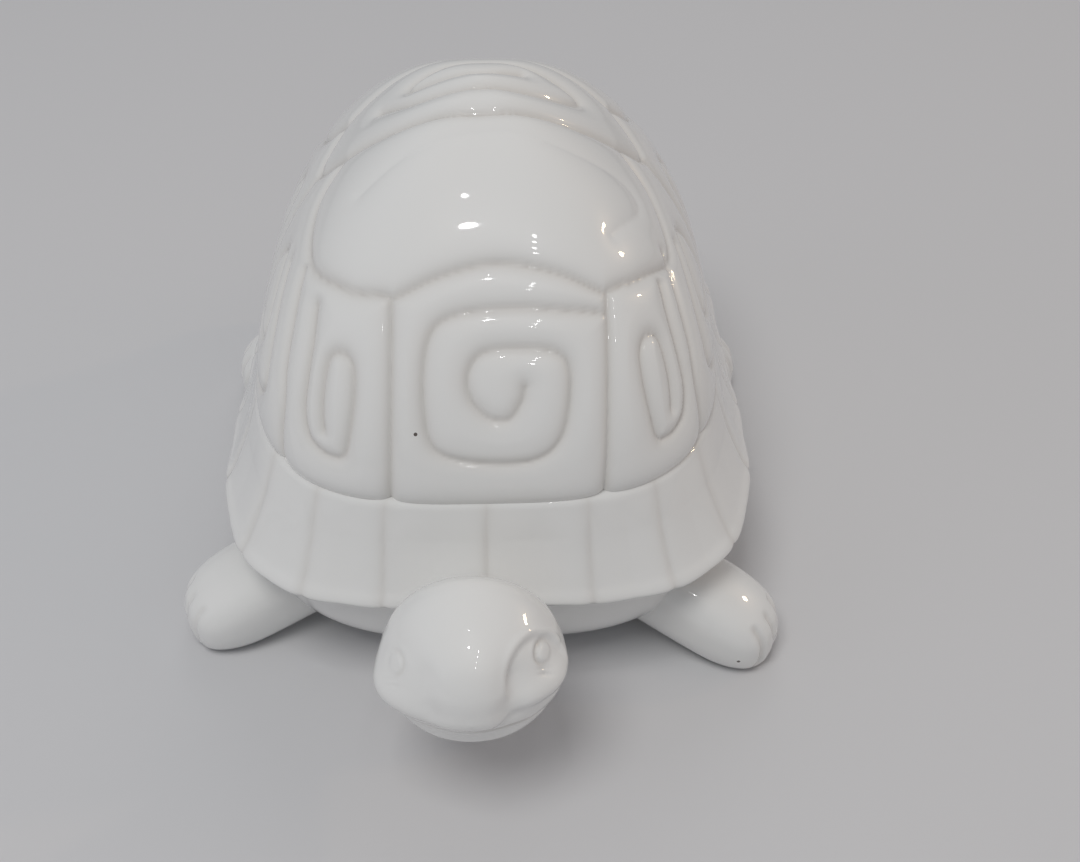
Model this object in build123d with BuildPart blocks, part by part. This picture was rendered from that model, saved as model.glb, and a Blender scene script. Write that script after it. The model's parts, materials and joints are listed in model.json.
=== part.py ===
from build123d import *
import os
from math import cos, pi, radians, sin, sqrt

os.makedirs("parts", exist_ok=True)

# Glazed earthenware turtle figurine, hollow cast, standing on four stub legs.
# Z is up, X runs across the shell and the head looks towards minus Y.
# The origin lies on the ground under the middle of the whole figure.

# Reach of the whole figure from the middle of the shell
nose_reach = 95.0
tail_reach = 70.5
front_left_reach = 59.4
front_right_reach = 55.0
rear_left_reach = 57.2
rear_right_reach = 55.4
shell_x = (front_left_reach - rear_right_reach) / 2
shell_y = (nose_reach - tail_reach) / 2
overrun = 30.0

# Skirt of marginal plates
rim_height = 23.0
skirt_drop = 19.0
skirt_half_width = 52.0
skirt_half_length = 65.4
skirt_squareness = 3.7
skirt_top_margin = 0.5
skirt_wall = 5.5
lip_radius = 1.6
skirt_groove_width = 1.6
skirt_groove_depth = 1.1

# Domed upper shell
shell_half_width = 44.6
shell_half_length = 57.7
shell_rise = 51.0
shell_squareness = 3.2
shell_fullness = 1.6
shell_wall = 4.5
pattern_turn = 3.4
groove_width = 2.2
groove_depth = 1.1

# Belly pan
belly_half_width = 48.5
belly_half_length = 61.5
belly_squareness = 3.2
belly_clearance = 3.5
belly_wall = 4.5
vent_radius = 3.5

# Head and neck
head_x = -2.5
head_half_width = 15.4
head_crown = 44.0
head_chin = 19.0
head_length = 30.0
neck_half_width = 9.5
neck_half_height = 7.5
neck_root_height = 16.5
eye_radius = 2.4
eye_proud = 0.6
mouth_height = 0.9
mouth_depth = 0.7

# Legs
leg_half_width = 12.6
leg_half_height = 9.4
leg_root_height = 13.5
leg_toe_height = 5.2
front_left_toe_y = -49.5
front_right_toe_y = -54.0
front_left_root_y = -37.0
front_right_root_y = -40.0
rear_toe_y = 26.0
rear_root_y = 33.0
leg_root_x = 27.0

# Tail
tail_root_radius = 7.0
tail_tip_radius = 1.6
tail_root_height = 15.0
tail_tip_height = 9.5
tail_root_y = 52.0

# Sections and points in a loft
ring_count = 32
shell_section_count = 9
lip_section_count = 4

shell_base = rim_height + skirt_drop
middle = Plane(origin=(shell_x, shell_y, 0))


def ring_points(half_width, half_length, squareness):
    points = []
    for step in range(ring_count):
        turn = 2 * pi * step / ring_count + pi / 2
        across = cos(turn)
        along = sin(turn)
        size = abs(across / half_width) ** squareness + abs(along / half_length) ** squareness
        reach = size ** (-1 / squareness)
        points.append((across * reach, along * reach))
    return points


def ring(half_width, half_length, squareness, height):
    with BuildSketch(middle.offset(height)) as section:
        with BuildLine():
            Spline(*ring_points(half_width, half_length, squareness), periodic=True)
        make_face()
    return section.sketch


def dome_sections(half_width, half_length, rise, foot):
    # A full dome whose plan is a rounded oblong and whose side is a full curve
    sections = [ring(half_width, half_length, shell_squareness, foot)]
    for step in range(1, shell_section_count):
        lift = (pi / 2) * step / shell_section_count
        reach_share = cos(lift) ** (2 / shell_fullness)
        rise_share = sin(lift) ** (2 / shell_fullness)
        height = shell_base + rise * rise_share
        plan = ring(half_width * reach_share, half_length * reach_share, shell_squareness, height)
        sections.append(plan)
    sections.append(Vertex(shell_x, shell_y, shell_base + rise))
    return sections


def pattern_plane(normal_turn):
    # Upright plane through the middle of the shell, facing out at the given turn from the head
    turn = radians(pattern_turn + normal_turn)
    return Plane(
        origin=(shell_x, shell_y, shell_base),
        x_dir=(cos(turn), sin(turn), 0),
        z_dir=(sin(turn), -cos(turn), 0),
    )


def traced(plane, runs, width_scale, height_scale, mirrored=False):
    side = -1 if mirrored else 1
    with BuildSketch(plane) as strokes:
        for run in runs:
            with BuildLine():
                points = [(side * u * width_scale, v * height_scale) for u, v in run]
                if len(points) > 2:
                    Spline(*points)
                else:
                    Line(*points)
            trace(line_width=groove_width)
    return strokes.sketch


# Grooves of the end plates, as shares of half width and rise
end_plate_shares = (
    ((-0.435, 0.60), (-0.43, 0.30), (-0.43, -0.02)),
    ((0.435, 0.60), (0.42, 0.30), (0.40, -0.02)),
    ((-0.46, 0.57), (-0.24, 0.645), (0.0, 0.685), (0.24, 0.64), (0.46, 0.57)),
    (
        (0.43, 0.535), (0.305, 0.56), (0.09, 0.58), (-0.16, 0.565), (-0.265, 0.50), (-0.295, 0.33),
        (-0.26, 0.20), (-0.11, 0.155), (0.11, 0.158), (0.225, 0.235), (0.265, 0.40), (0.22, 0.465),
        (0.08, 0.482), (-0.06, 0.472), (-0.12, 0.42), (-0.115, 0.35), (-0.05, 0.295), (0.025, 0.29),
        (0.075, 0.34), (0.09, 0.38),
    ),
)

# Grooves of the crown plates, as shares of half width and half length
crown_shares = (
    ((-0.45, -0.64), (-0.62, -0.54), (-0.728, -0.39), (-0.70, -0.15), (-0.575, -0.03)),
    ((0.45, -0.64), (0.62, -0.54), (0.728, -0.39), (0.70, -0.15), (0.575, -0.03)),
    ((-0.575, -0.03), (-0.33, -0.12), (0.0, -0.165), (0.33, -0.12), (0.575, -0.03)),
    ((-0.575, -0.03), (-0.70, 0.08), (-0.575, 0.23)),
    ((0.575, -0.03), (0.70, 0.08), (0.575, 0.23)),
    ((-0.575, 0.23), (-0.33, 0.29), (0.0, 0.315), (0.33, 0.29), (0.575, 0.23)),
    ((-0.575, 0.23), (-0.68, 0.33), (-0.70, 0.50), (-0.60, 0.62), (-0.45, 0.70)),
    ((0.575, 0.23), (0.68, 0.33), (0.70, 0.50), (0.60, 0.62), (0.45, 0.70)),
    ((-0.42, 0.08), (-0.26, -0.01), (0.0, -0.045), (0.26, -0.01), (0.42, 0.08), (0.26, 0.16),
     (0.0, 0.19), (-0.24, 0.15), (-0.28, 0.09), (0.0, 0.06), (0.18, 0.085)),
)

# Grooves between and on the side plates, as shares of half length and rise
side_shares = (
    ((-0.39, 0.53), (-0.52, 0.42), (-0.62, 0.30), (-0.70, 0.18), (-0.76, -0.02)),
    ((0.08, 0.60), (0.08, 0.35), (0.07, -0.02)),
    ((0.50, 0.50), (0.62, 0.36), (0.71, 0.18), (0.75, -0.02)),
    ((-0.25, 0.46), (-0.42, 0.34), (-0.51, 0.24), (-0.545, 0.155), (-0.46, 0.09), (-0.17, 0.09),
     (-0.08, 0.15), (-0.08, 0.36), (-0.14, 0.43), (-0.23, 0.38), (-0.32, 0.31), (-0.365, 0.235),
     (-0.31, 0.185), (-0.20, 0.19)),
    ((0.43, 0.44), (0.50, 0.34), (0.545, 0.22), (0.55, 0.13), (0.47, 0.09), (0.31, 0.09),
     (0.22, 0.14), (0.215, 0.38), (0.27, 0.45), (0.35, 0.41), (0.40, 0.28), (0.39, 0.20),
     (0.32, 0.21)),
)

# Groove of each corner plate, as shares of half width and rise
corner_turn = 36.9
corner_shares = (
    ((0.12, 0.51), (0.075, 0.43), (0.045, 0.33), (0.02, 0.24), (-0.03, 0.17), (-0.10, 0.14),
     (-0.165, 0.135), (-0.205, 0.155), (-0.205, 0.24), (-0.185, 0.34), (-0.145, 0.415),
     (-0.085, 0.44), (-0.035, 0.41), (-0.05, 0.32), (-0.075, 0.25), (-0.095, 0.21)),
)

# The shell's skin is cut down to this floor wherever a groove runs
floor_sections = dome_sections(
    shell_half_width - groove_depth,
    shell_half_length - groove_depth,
    shell_rise - groove_depth,
    shell_base - groove_depth,
)

with BuildPart() as groove_floor:
    loft(sections=floor_sections)

with BuildPart() as end_grooves:
    front_marks = traced(pattern_plane(0), end_plate_shares, shell_half_width, shell_rise)
    rear_marks = traced(pattern_plane(180), end_plate_shares, shell_half_width, shell_rise, True)
    extrude(front_marks, amount=shell_half_length + overrun)
    extrude(rear_marks, amount=shell_half_length + overrun)
    add(groove_floor.part, mode=Mode.SUBTRACT)

crown_plane = Plane(
    origin=(shell_x, shell_y, shell_base),
    x_dir=(cos(radians(pattern_turn)), sin(radians(pattern_turn)), 0),
)

with BuildPart() as crown_grooves:
    crown_marks = traced(crown_plane, crown_shares, shell_half_width, shell_half_length)
    extrude(crown_marks, amount=shell_rise + overrun)
    add(groove_floor.part, mode=Mode.SUBTRACT)

with BuildPart() as side_grooves:
    right_marks = traced(pattern_plane(90), side_shares, shell_half_length, shell_rise)
    left_marks = traced(pattern_plane(-90), side_shares, shell_half_length, shell_rise, True)
    extrude(right_marks, amount=shell_half_width + overrun)
    extrude(left_marks, amount=shell_half_width + overrun)
    add(groove_floor.part, mode=Mode.SUBTRACT)

with BuildPart() as corner_grooves:
    for facing, flipped in (
        (corner_turn, False),
        (-corner_turn, True),
        (180 - corner_turn, True),
        (180 + corner_turn, False),
    ):
        corner_marks = traced(
            pattern_plane(facing), corner_shares, shell_half_width, shell_rise, flipped
        )
        extrude(corner_marks, amount=shell_half_length + overrun)
    add(groove_floor.part, mode=Mode.SUBTRACT)

outer_sections = dome_sections(shell_half_width, shell_half_length, shell_rise, shell_base)
inner_sections = dome_sections(
    shell_half_width - shell_wall,
    shell_half_length - shell_wall,
    shell_rise - shell_wall,
    shell_base - shell_wall,
)

with BuildPart() as carapace:
    loft(sections=outer_sections)
    loft(sections=inner_sections, mode=Mode.SUBTRACT)
    grooves = [end_grooves.part, crown_grooves.part, side_grooves.part, corner_grooves.part]
    add(grooves, clean=False, mode=Mode.SUBTRACT)
carapace.part.label = "carapace"
export_step(carapace.part, "parts/carapace.step")

# Skirt: a flared ring whose top face carries the shell
skirt_top_half_width = shell_half_width + skirt_top_margin
skirt_top_half_length = shell_half_length + skirt_top_margin

# Where the skirt grooves start on the rim and end at the shell, as shares of half width and half length
skirt_groove_shares = (
    ((0.0, -1.0), (0.0, -1.0)),
    ((0.352, -0.99), (0.395, -0.985)),
    ((0.640, -0.945), (0.655, -0.90)),
    ((0.880, -0.78), (0.845, -0.745)),
    ((0.985, -0.47), (0.965, -0.46)),
    ((1.0, -0.17), (1.0, -0.17)),
    ((1.0, 0.13), (1.0, 0.13)),
    ((0.99, 0.43), (0.975, 0.43)),
    ((0.89, 0.75), (0.86, 0.72)),
    ((0.650, 0.94), (0.665, 0.895)),
    ((0.352, 0.99), (0.395, 0.985)),
    ((0.0, 1.0), (0.0, 1.0)),
)

# The rim is rounded under, then the plates run straight up and in to the shell
skirt_outer = []
for lip_step in range(lip_section_count + 1):
    lip_turn = (pi / 2) * lip_step / lip_section_count
    drawn_in = lip_radius * (1 - sin(lip_turn))
    lip_ring = ring(
        skirt_half_width - drawn_in,
        skirt_half_length - drawn_in,
        skirt_squareness,
        rim_height + lip_radius * (1 - cos(lip_turn)),
    )
    skirt_outer.append(lip_ring)
skirt_outer.append(
    ring(skirt_top_half_width, skirt_top_half_length, shell_squareness, shell_base)
)
skirt_inner = [
    ring(
        skirt_half_width - skirt_wall,
        skirt_half_length - skirt_wall,
        skirt_squareness,
        rim_height,
    ),
    ring(
        skirt_top_half_width - skirt_wall,
        skirt_top_half_length - skirt_wall,
        shell_squareness,
        shell_base,
    ),
]

with BuildPart() as skirt_blades:
    for rim_share, top_share in skirt_groove_shares:
        for side in (-1, 1):
            if rim_share[0] == 0 and side == 1:
                continue
            foot = Vector(
                side * rim_share[0] * skirt_half_width, rim_share[1] * skirt_half_length, rim_height
            )
            head = Vector(
                side * top_share[0] * skirt_top_half_width,
                top_share[1] * skirt_top_half_length,
                shell_base,
            )
            place = Vector(shell_x, shell_y, 0)
            rise_way = (head - foot).normalized()
            out_way = Vector(foot.X / skirt_half_width, foot.Y / skirt_half_length, 0).normalized()
            blade_plane = Plane(
                origin=(foot + head) / 2 + place, x_dir=rise_way, z_dir=rise_way.cross(out_way)
            )
            with BuildSketch(blade_plane) as blade:
                Rectangle((head - foot).length * 2, skirt_groove_depth * 2)
            extrude(blade.sketch, amount=skirt_groove_width / 2, both=True)

# One half is made and mirrored, then the grooves are cut
skirt_seam = Plane.YZ.offset(shell_x)
with BuildPart() as skirt_half:
    loft(sections=skirt_outer, ruled=True)
    loft(sections=skirt_inner, ruled=True, mode=Mode.SUBTRACT)
    split(bisect_by=skirt_seam, keep=Keep.TOP)

with BuildPart() as marginal_skirt:
    add(skirt_half.part)
    mirror(about=skirt_seam)
    add(skirt_blades.part, mode=Mode.SUBTRACT)
marginal_skirt.part.label = "marginal_skirt"
export_step(marginal_skirt.part, "parts/marginal_skirt.step")

# Belly pan, closed below and open to the shell above
belly_depth = rim_height - belly_clearance
belly_curve_shares = ((0.0, 0.72), (0.05, 0.80), (0.16, 0.885), (0.36, 0.955), (0.65, 0.99), (1.0, 1.0))


def pan_sections(half_width, half_length, foot, depth):
    sections = []
    for height_share, reach_share in belly_curve_shares:
        section = ring(
            half_width - half_width * (1 - reach_share),
            half_length - half_width * (1 - reach_share),
            belly_squareness,
            foot + depth * height_share,
        )
        sections.append(section)
    return sections


belly_outer = pan_sections(belly_half_width, belly_half_length, belly_clearance, belly_depth)
belly_inner = pan_sections(
    belly_half_width - belly_wall,
    belly_half_length - belly_wall,
    belly_clearance + belly_wall,
    belly_depth,
)

with BuildPart() as belly_form:
    loft(sections=belly_outer)

with BuildPart() as plastron:
    add(belly_form.part)
    loft(sections=belly_inner, mode=Mode.SUBTRACT)
    with BuildSketch(middle) as vent:
        Circle(vent_radius)
    extrude(vent.sketch, amount=belly_clearance + belly_wall + belly_wall, mode=Mode.SUBTRACT)
    split(bisect_by=Plane.XY.offset(rim_height), keep=Keep.BOTTOM)
plastron.part.label = "plastron"
export_step(plastron.part, "parts/plastron.step")


# Head: egg shaped sections from the nose back to the neck
# Each row gives how far back it lies, its half width, its top and its underside
head_shares = (
    (0.0, 0.16, 0.62, 0.38),
    (0.05, 0.50, 0.76, 0.22),
    (0.13, 0.76, 0.84, 0.10),
    (0.27, 0.96, 0.91, 0.02),
    (0.42, 1.0, 0.965, 0.0),
    (0.60, 0.95, 1.0, 0.03),
    (0.78, 0.83, 0.97, 0.10),
    (0.95, 0.68, 0.84, 0.17),
)
cheek_share = 0.40
head_height = head_crown - head_chin
nose_y = shell_y - nose_reach


def egg(along, half_width, top, underside):
    widest = underside + (top - underside) * cheek_share
    points = []
    for step in range(ring_count // 2):
        turn = 4 * pi * step / ring_count
        tall = top - widest if sin(turn) > 0 else widest - underside
        points.append((shell_x + head_x + half_width * cos(turn), widest + tall * sin(turn)))
    with BuildSketch(Plane.XZ.offset(-along)) as section:
        with BuildLine():
            Spline(*points, periodic=True)
        make_face()
    return section.sketch


def head_sections(skin):
    sections = []
    for back_share, width_share, top_share, underside_share in head_shares:
        station = egg(
            nose_y + head_length * back_share,
            head_half_width * width_share - skin,
            head_chin + head_height * top_share - skin,
            head_chin + head_height * underside_share + skin,
        )
        sections.append(station)
    return sections


# The neck starts inside the back of the head and dips under the rim into the belly
neck_start_share = 0.68
neck_lift_share = 0.1
neck_start_middle = head_chin + head_height * neck_lift_share + neck_half_height
neck_end_y = shell_y - belly_half_length + belly_wall
neck_sections = []
for along, neck_middle in (
    (nose_y + head_length * neck_start_share, neck_start_middle),
    (nose_y + head_length, (neck_start_middle + neck_root_height) / 2),
    (neck_end_y, neck_root_height),
):
    neck_sections.append(
        egg(along, neck_half_width, neck_middle + neck_half_height, neck_middle - neck_half_height)
    )

eye_back_share = 0.42
eye_height_share = 0.64
eye_lift_share = (eye_height_share - cheek_share) / (1 - cheek_share)
eye_reach = head_half_width * sqrt(1 - eye_lift_share**2) + eye_proud - eye_radius
mouth_height_share = 0.18
mouth_length_share = 0.42

with BuildPart() as mouth_line:
    with BuildSketch(Plane.XY.offset(head_chin + head_height * mouth_height_share)):
        with Locations((shell_x + head_x, nose_y)):
            Rectangle(head_half_width * 3, head_length * mouth_length_share * 2)
    extrude(amount=mouth_height)
    loft(sections=head_sections(mouth_depth), mode=Mode.SUBTRACT)

with BuildPart() as head:
    loft(sections=head_sections(0))
    loft(sections=neck_sections, ruled=True)
    for side in (-1, 1):
        eye_spot = (
            shell_x + head_x + side * eye_reach,
            nose_y + head_length * eye_back_share,
            head_chin + head_height * eye_height_share,
        )
        with Locations(eye_spot):
            Sphere(eye_radius)
    add(mouth_line.part, mode=Mode.SUBTRACT)
    add(belly_form.part, mode=Mode.SUBTRACT)
    loft(sections=skirt_outer, ruled=True, mode=Mode.SUBTRACT)
head.part.label = "head"
export_step(head.part, "parts/head.step")


# Legs: stub paddles that slope down and out to a rounded toe, with a flat sole
leg_run_shares = (
    (0.0, 0.88, 1.0), (0.25, 0.95, 1.0), (0.50, 1.0, 0.98), (0.70, 0.98, 0.92), (0.86, 0.86, 0.80),
    (0.95, 0.66, 0.62), (1.0, 0.32, 0.30),
)


def leg_sections(side, reach, root_y, toe_y):
    root = Vector(side * leg_root_x + shell_x, root_y + shell_y, leg_root_height)
    toe = Vector(side * reach + shell_x, toe_y + shell_y, leg_toe_height)
    way = Vector(toe.X - root.X, toe.Y - root.Y, 0).normalized()
    across = way.cross(Vector(0, 0, 1)).normalized()
    # The last small section leans past the toe by this much, so the toe is drawn in to suit
    toe_lean = leg_half_width * leg_run_shares[-1][1] * abs(way.Y)
    toe = toe - Vector(side * toe_lean, 0, 0)
    sections = []
    for run_share, width_share, height_share in leg_run_shares:
        station = Plane(origin=root + (toe - root) * run_share, x_dir=across, z_dir=way)
        with BuildSketch(station) as section:
            Ellipse(leg_half_width * width_share, leg_half_height * height_share)
        sections.append(section.sketch)
    return sections


leg_places = {
    "front_left_leg": (-1, front_left_reach, front_left_root_y, front_left_toe_y),
    "front_right_leg": (1, front_right_reach, front_right_root_y, front_right_toe_y),
    "rear_left_leg": (-1, rear_left_reach, rear_root_y, rear_toe_y),
    "rear_right_leg": (1, rear_right_reach, rear_root_y, rear_toe_y),
}
for leg_name, leg_place in leg_places.items():
    with BuildPart() as leg:
        loft(sections=leg_sections(*leg_place))
        split(bisect_by=Plane.XY, keep=Keep.TOP)
        add(belly_form.part, mode=Mode.SUBTRACT)
        loft(sections=skirt_outer, ruled=True, mode=Mode.SUBTRACT)
    leg.part.label = leg_name
    export_step(leg.part, "parts/" + leg_name + ".step")

# Tail: a short drooping cone behind the belly
with BuildPart() as tail:
    tail_start = Vector(shell_x, shell_y + tail_root_y, tail_root_height)
    tail_end = Vector(shell_x, shell_y + tail_reach, tail_tip_height)
    tail_way = (tail_end - tail_start).normalized()
    with BuildSketch(Plane(origin=tail_start, z_dir=tail_way)) as tail_root:
        Circle(tail_root_radius)
    with BuildSketch(Plane(origin=tail_end - tail_way * tail_tip_radius, z_dir=tail_way)) as tail_tip:
        Circle(tail_tip_radius)
    loft(sections=[tail_root.sketch, tail_tip.sketch])
    with Locations(tail_end - tail_way * tail_tip_radius):
        Sphere(tail_tip_radius)
    add(belly_form.part, mode=Mode.SUBTRACT)
tail.part.label = "tail"
export_step(tail.part, "parts/tail.step")
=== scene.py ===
import json
import math

import bpy
import numpy as np
from mathutils import Euler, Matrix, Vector

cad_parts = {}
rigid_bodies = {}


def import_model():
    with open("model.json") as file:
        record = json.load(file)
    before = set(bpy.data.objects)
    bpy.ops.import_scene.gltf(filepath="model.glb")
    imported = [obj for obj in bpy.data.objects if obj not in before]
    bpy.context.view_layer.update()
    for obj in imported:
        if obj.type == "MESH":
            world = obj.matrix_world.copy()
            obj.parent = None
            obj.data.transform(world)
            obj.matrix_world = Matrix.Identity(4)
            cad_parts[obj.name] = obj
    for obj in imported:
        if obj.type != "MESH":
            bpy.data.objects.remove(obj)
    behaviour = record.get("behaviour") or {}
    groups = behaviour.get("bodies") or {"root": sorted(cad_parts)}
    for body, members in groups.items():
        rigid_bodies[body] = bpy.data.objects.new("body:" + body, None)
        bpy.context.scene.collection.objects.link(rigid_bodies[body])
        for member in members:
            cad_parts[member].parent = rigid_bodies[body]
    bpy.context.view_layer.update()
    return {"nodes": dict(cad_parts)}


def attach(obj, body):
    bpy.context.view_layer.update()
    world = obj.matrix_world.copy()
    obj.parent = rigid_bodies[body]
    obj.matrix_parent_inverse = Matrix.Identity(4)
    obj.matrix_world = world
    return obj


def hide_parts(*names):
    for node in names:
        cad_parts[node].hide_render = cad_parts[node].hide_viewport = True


# Glazed turtle figurine: shell and skirt are grown by rule, head, legs and tail are shaped skins.
# Sizes are in millimetres here and turned into metres where a mesh is made.
MM = 0.001

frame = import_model()

# Middle of the shell on the ground, and the heights at which the skirt and the dome begin
SHELL_X = 2.0
SHELL_Y = 12.25
RIM_Z = 23.0
BASE_Z = 42.0

# Dome: half sizes of its plan, rise, how square the plan is and how full the sides are
HALF_WIDTH = 44.6
HALF_LENGTH = 57.7
RISE = 51.0
SQUARENESS = 3.2
FULLNESS = 1.6
# The carving sits a little turned on the dome
PATTERN_TURN = math.radians(3.4)


# ---------- lines that the carving follows ----------

# A place on the dome is found by halving the reach this often, from farther out than the dome
HALVINGS = 40
BEYOND_DOME = 90.0
# Lines stop at this share of the dome's rise and outline
JUST_INSIDE = 0.999


def eased(points, steps=14):
    """A smooth line through three or more points."""
    p = np.array(points, float)
    p = np.vstack([2 * p[0] - p[1], p, 2 * p[-1] - p[-2]])
    line = []
    for a, b, c, d in zip(p, p[1:], p[2:], p[3:]):
        for k in range(steps):
            t = k / steps
            line.append(
                0.5 * (2 * b + (c - a) * t + (2 * a - 5 * b + 4 * c - d) * t**2
                       + (3 * b - 3 * c + d - a) * t**3)
            )
    line.append(p[-2])
    return np.array(line)


def plan_share(x, y):
    """How far out a place lies in the dome's plan: 0 in the middle and 1 on the outline."""
    n = SQUARENESS
    return (np.abs(x / HALF_WIDTH) ** n + np.abs(y / HALF_LENGTH) ** n) ** (1 / n)


def turned(x, y, turn):
    return x * math.cos(turn) - y * math.sin(turn), x * math.sin(turn) + y * math.cos(turn)


def on_flank(across, up, facing):
    """Points of the dome seen square on from the given side, 0 being the head's side."""
    turn = PATTERN_TURN + math.radians(facing)
    up = np.clip(up, 0, RISE * JUST_INSIDE)
    room = (1 - (up / RISE) ** FULLNESS) ** (1 / FULLNESS)
    low, high = np.zeros_like(across), np.full_like(across, BEYOND_DOME)
    for _ in range(HALVINGS):
        reach = (low + high) / 2
        inside = plan_share(*turned(across, -reach, turn)) < room
        low, high = np.where(inside, reach, low), np.where(inside, high, reach)
    x, y = turned(across, -low, turn)
    return np.column_stack([x + SHELL_X, y + SHELL_Y, up + BASE_Z])


def on_crown(across, along):
    """Points of the dome straight above a place in its plan."""
    x, y = turned(across, along, PATTERN_TURN)
    share = np.clip(plan_share(x, y), 0, JUST_INSIDE)
    up = RISE * (1 - share**FULLNESS) ** (1 / FULLNESS)
    return np.column_stack([x + SHELL_X, y + SHELL_Y, up + BASE_Z])


def flank_lines(runs, width, facing):
    """Lines given as shares of a flank's half width and rise; a negative width mirrors them."""
    return [on_flank(*(eased(run) * [width, RISE]).T, facing) for run in runs]


def two_flanks(runs, width, facing, opposite):
    """The same lines on two flanks, mirrored on the second one."""
    return flank_lines(runs, width, facing) + flank_lines(runs, -width, opposite)


def crown_lines(runs):
    """Lines given as shares of the plan's half sizes."""
    return [on_crown(*(eased(run) * [HALF_WIDTH, HALF_LENGTH]).T) for run in runs]


def both_sides(run):
    return [run, [(-u, v) for u, v in run]]


# Plate borders and the squared spirals inside the plates, as shares of the dome's sizes
END_BORDERS = [
    [(-0.395, 0.595), (-0.418, 0.34), (-0.449, -0.02)],
    [(0.43, 0.58), (0.41, 0.32), (0.385, -0.02)],
    [(-0.395, 0.595), (-0.203, 0.655), (0.021, 0.683), (0.243, 0.652), (0.43, 0.58)],
]
END_SPIRAL = [[
    (0.43, 0.535), (0.305, 0.56), (0.09, 0.58), (-0.16, 0.565), (-0.265, 0.50), (-0.295, 0.33),
    (-0.26, 0.20), (-0.11, 0.155), (0.11, 0.158), (0.225, 0.235), (0.265, 0.40), (0.22, 0.465),
    (0.08, 0.482), (-0.06, 0.472), (-0.12, 0.42), (-0.115, 0.35), (-0.05, 0.295), (0.025, 0.29),
    (0.075, 0.34), (0.09, 0.38),
]]
CROWN_BORDERS = (
    [[(-0.395, -0.655), (-0.566, -0.587), (-0.713, -0.415), (-0.70, -0.15), (-0.575, -0.03)],
     [(0.43, -0.66), (0.588, -0.563), (0.735, -0.385), (0.70, -0.15), (0.575, -0.03)]]
    + [[(-0.575, -0.03), (-0.33, -0.12), (0.0, -0.165), (0.33, -0.12), (0.575, -0.03)]]
    + both_sides([(-0.575, -0.03), (-0.70, 0.08), (-0.575, 0.23)])
    + [[(-0.575, 0.23), (-0.33, 0.29), (0.0, 0.315), (0.33, 0.29), (0.575, 0.23)]]
    + both_sides([(-0.575, 0.23), (-0.68, 0.33), (-0.70, 0.50), (-0.60, 0.62), (-0.45, 0.70)])
)
CROWN_SPIRAL = [[
    (-0.42, 0.08), (-0.26, -0.01), (0.0, -0.045), (0.26, -0.01), (0.42, 0.08), (0.26, 0.16),
    (0.0, 0.19), (-0.24, 0.15), (-0.28, 0.09), (0.0, 0.06), (0.18, 0.085),
]]
CROWN_RING = [[
    (-0.50, -0.32), (-0.30, -0.27), (0.0, -0.245), (0.32, -0.26), (0.56, -0.25), (0.60, -0.34),
    (0.47, -0.50),
]]
SIDE_BORDERS = [
    [(-0.39, 0.53), (-0.52, 0.42), (-0.62, 0.30), (-0.70, 0.18), (-0.76, -0.02)],
    [(0.08, 0.60), (0.08, 0.35), (0.07, -0.02)],
    [(0.50, 0.50), (0.62, 0.36), (0.71, 0.18), (0.75, -0.02)],
]
SIDE_SPIRALS = [
    [(-0.25, 0.46), (-0.42, 0.34), (-0.51, 0.24), (-0.545, 0.155), (-0.46, 0.09), (-0.17, 0.09),
     (-0.08, 0.15), (-0.08, 0.36), (-0.14, 0.43), (-0.23, 0.38), (-0.32, 0.31), (-0.365, 0.235),
     (-0.31, 0.185), (-0.20, 0.19)],
    [(0.43, 0.44), (0.50, 0.34), (0.545, 0.22), (0.55, 0.13), (0.47, 0.09), (0.31, 0.09),
     (0.22, 0.14), (0.215, 0.38), (0.27, 0.45), (0.35, 0.41), (0.40, 0.28), (0.39, 0.20),
     (0.32, 0.21)],
]
CORNER_SPIRAL = [[
    (0.12, 0.51), (0.075, 0.43), (0.045, 0.33), (0.02, 0.24), (-0.03, 0.17), (-0.10, 0.14),
    (-0.165, 0.135), (-0.205, 0.155), (-0.205, 0.24), (-0.185, 0.34), (-0.145, 0.415),
    (-0.085, 0.44), (-0.035, 0.41), (-0.05, 0.32), (-0.075, 0.25), (-0.095, 0.21),
]]
CORNER_TURN = 36.9

border_lines = (
    two_flanks(END_BORDERS, HALF_WIDTH, 0, 180) + crown_lines(CROWN_BORDERS)
    + two_flanks(SIDE_BORDERS, HALF_LENGTH, 90, -90)
)
spiral_lines = (
    two_flanks(END_SPIRAL, HALF_WIDTH, 0, 180) + crown_lines(CROWN_SPIRAL)
    + two_flanks(SIDE_SPIRALS, HALF_LENGTH, 90, -90)
    + two_flanks(CORNER_SPIRAL, HALF_WIDTH, CORNER_TURN, -CORNER_TURN)
    + two_flanks(CORNER_SPIRAL, HALF_WIDTH, 180 + CORNER_TURN, 180 - CORNER_TURN)
)
faint_lines = crown_lines(CROWN_RING)


def new_object(name, data):
    obj = bpy.data.objects.new(name, data)
    bpy.context.collection.objects.link(obj)
    return obj


def line_object(name, lines):
    """Open lines as bare edges, for the node trees to measure from."""
    verts, edges = [], []
    for line in lines:
        first = len(verts)
        verts += [tuple(p * MM) for p in line]
        edges += [(first + i, first + i + 1) for i in range(len(line) - 1)]
    mesh = bpy.data.meshes.new(name)
    mesh.from_pydata(verts, edges, [])
    return new_object(name, mesh)


# ---------- node tree helpers ----------


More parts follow.
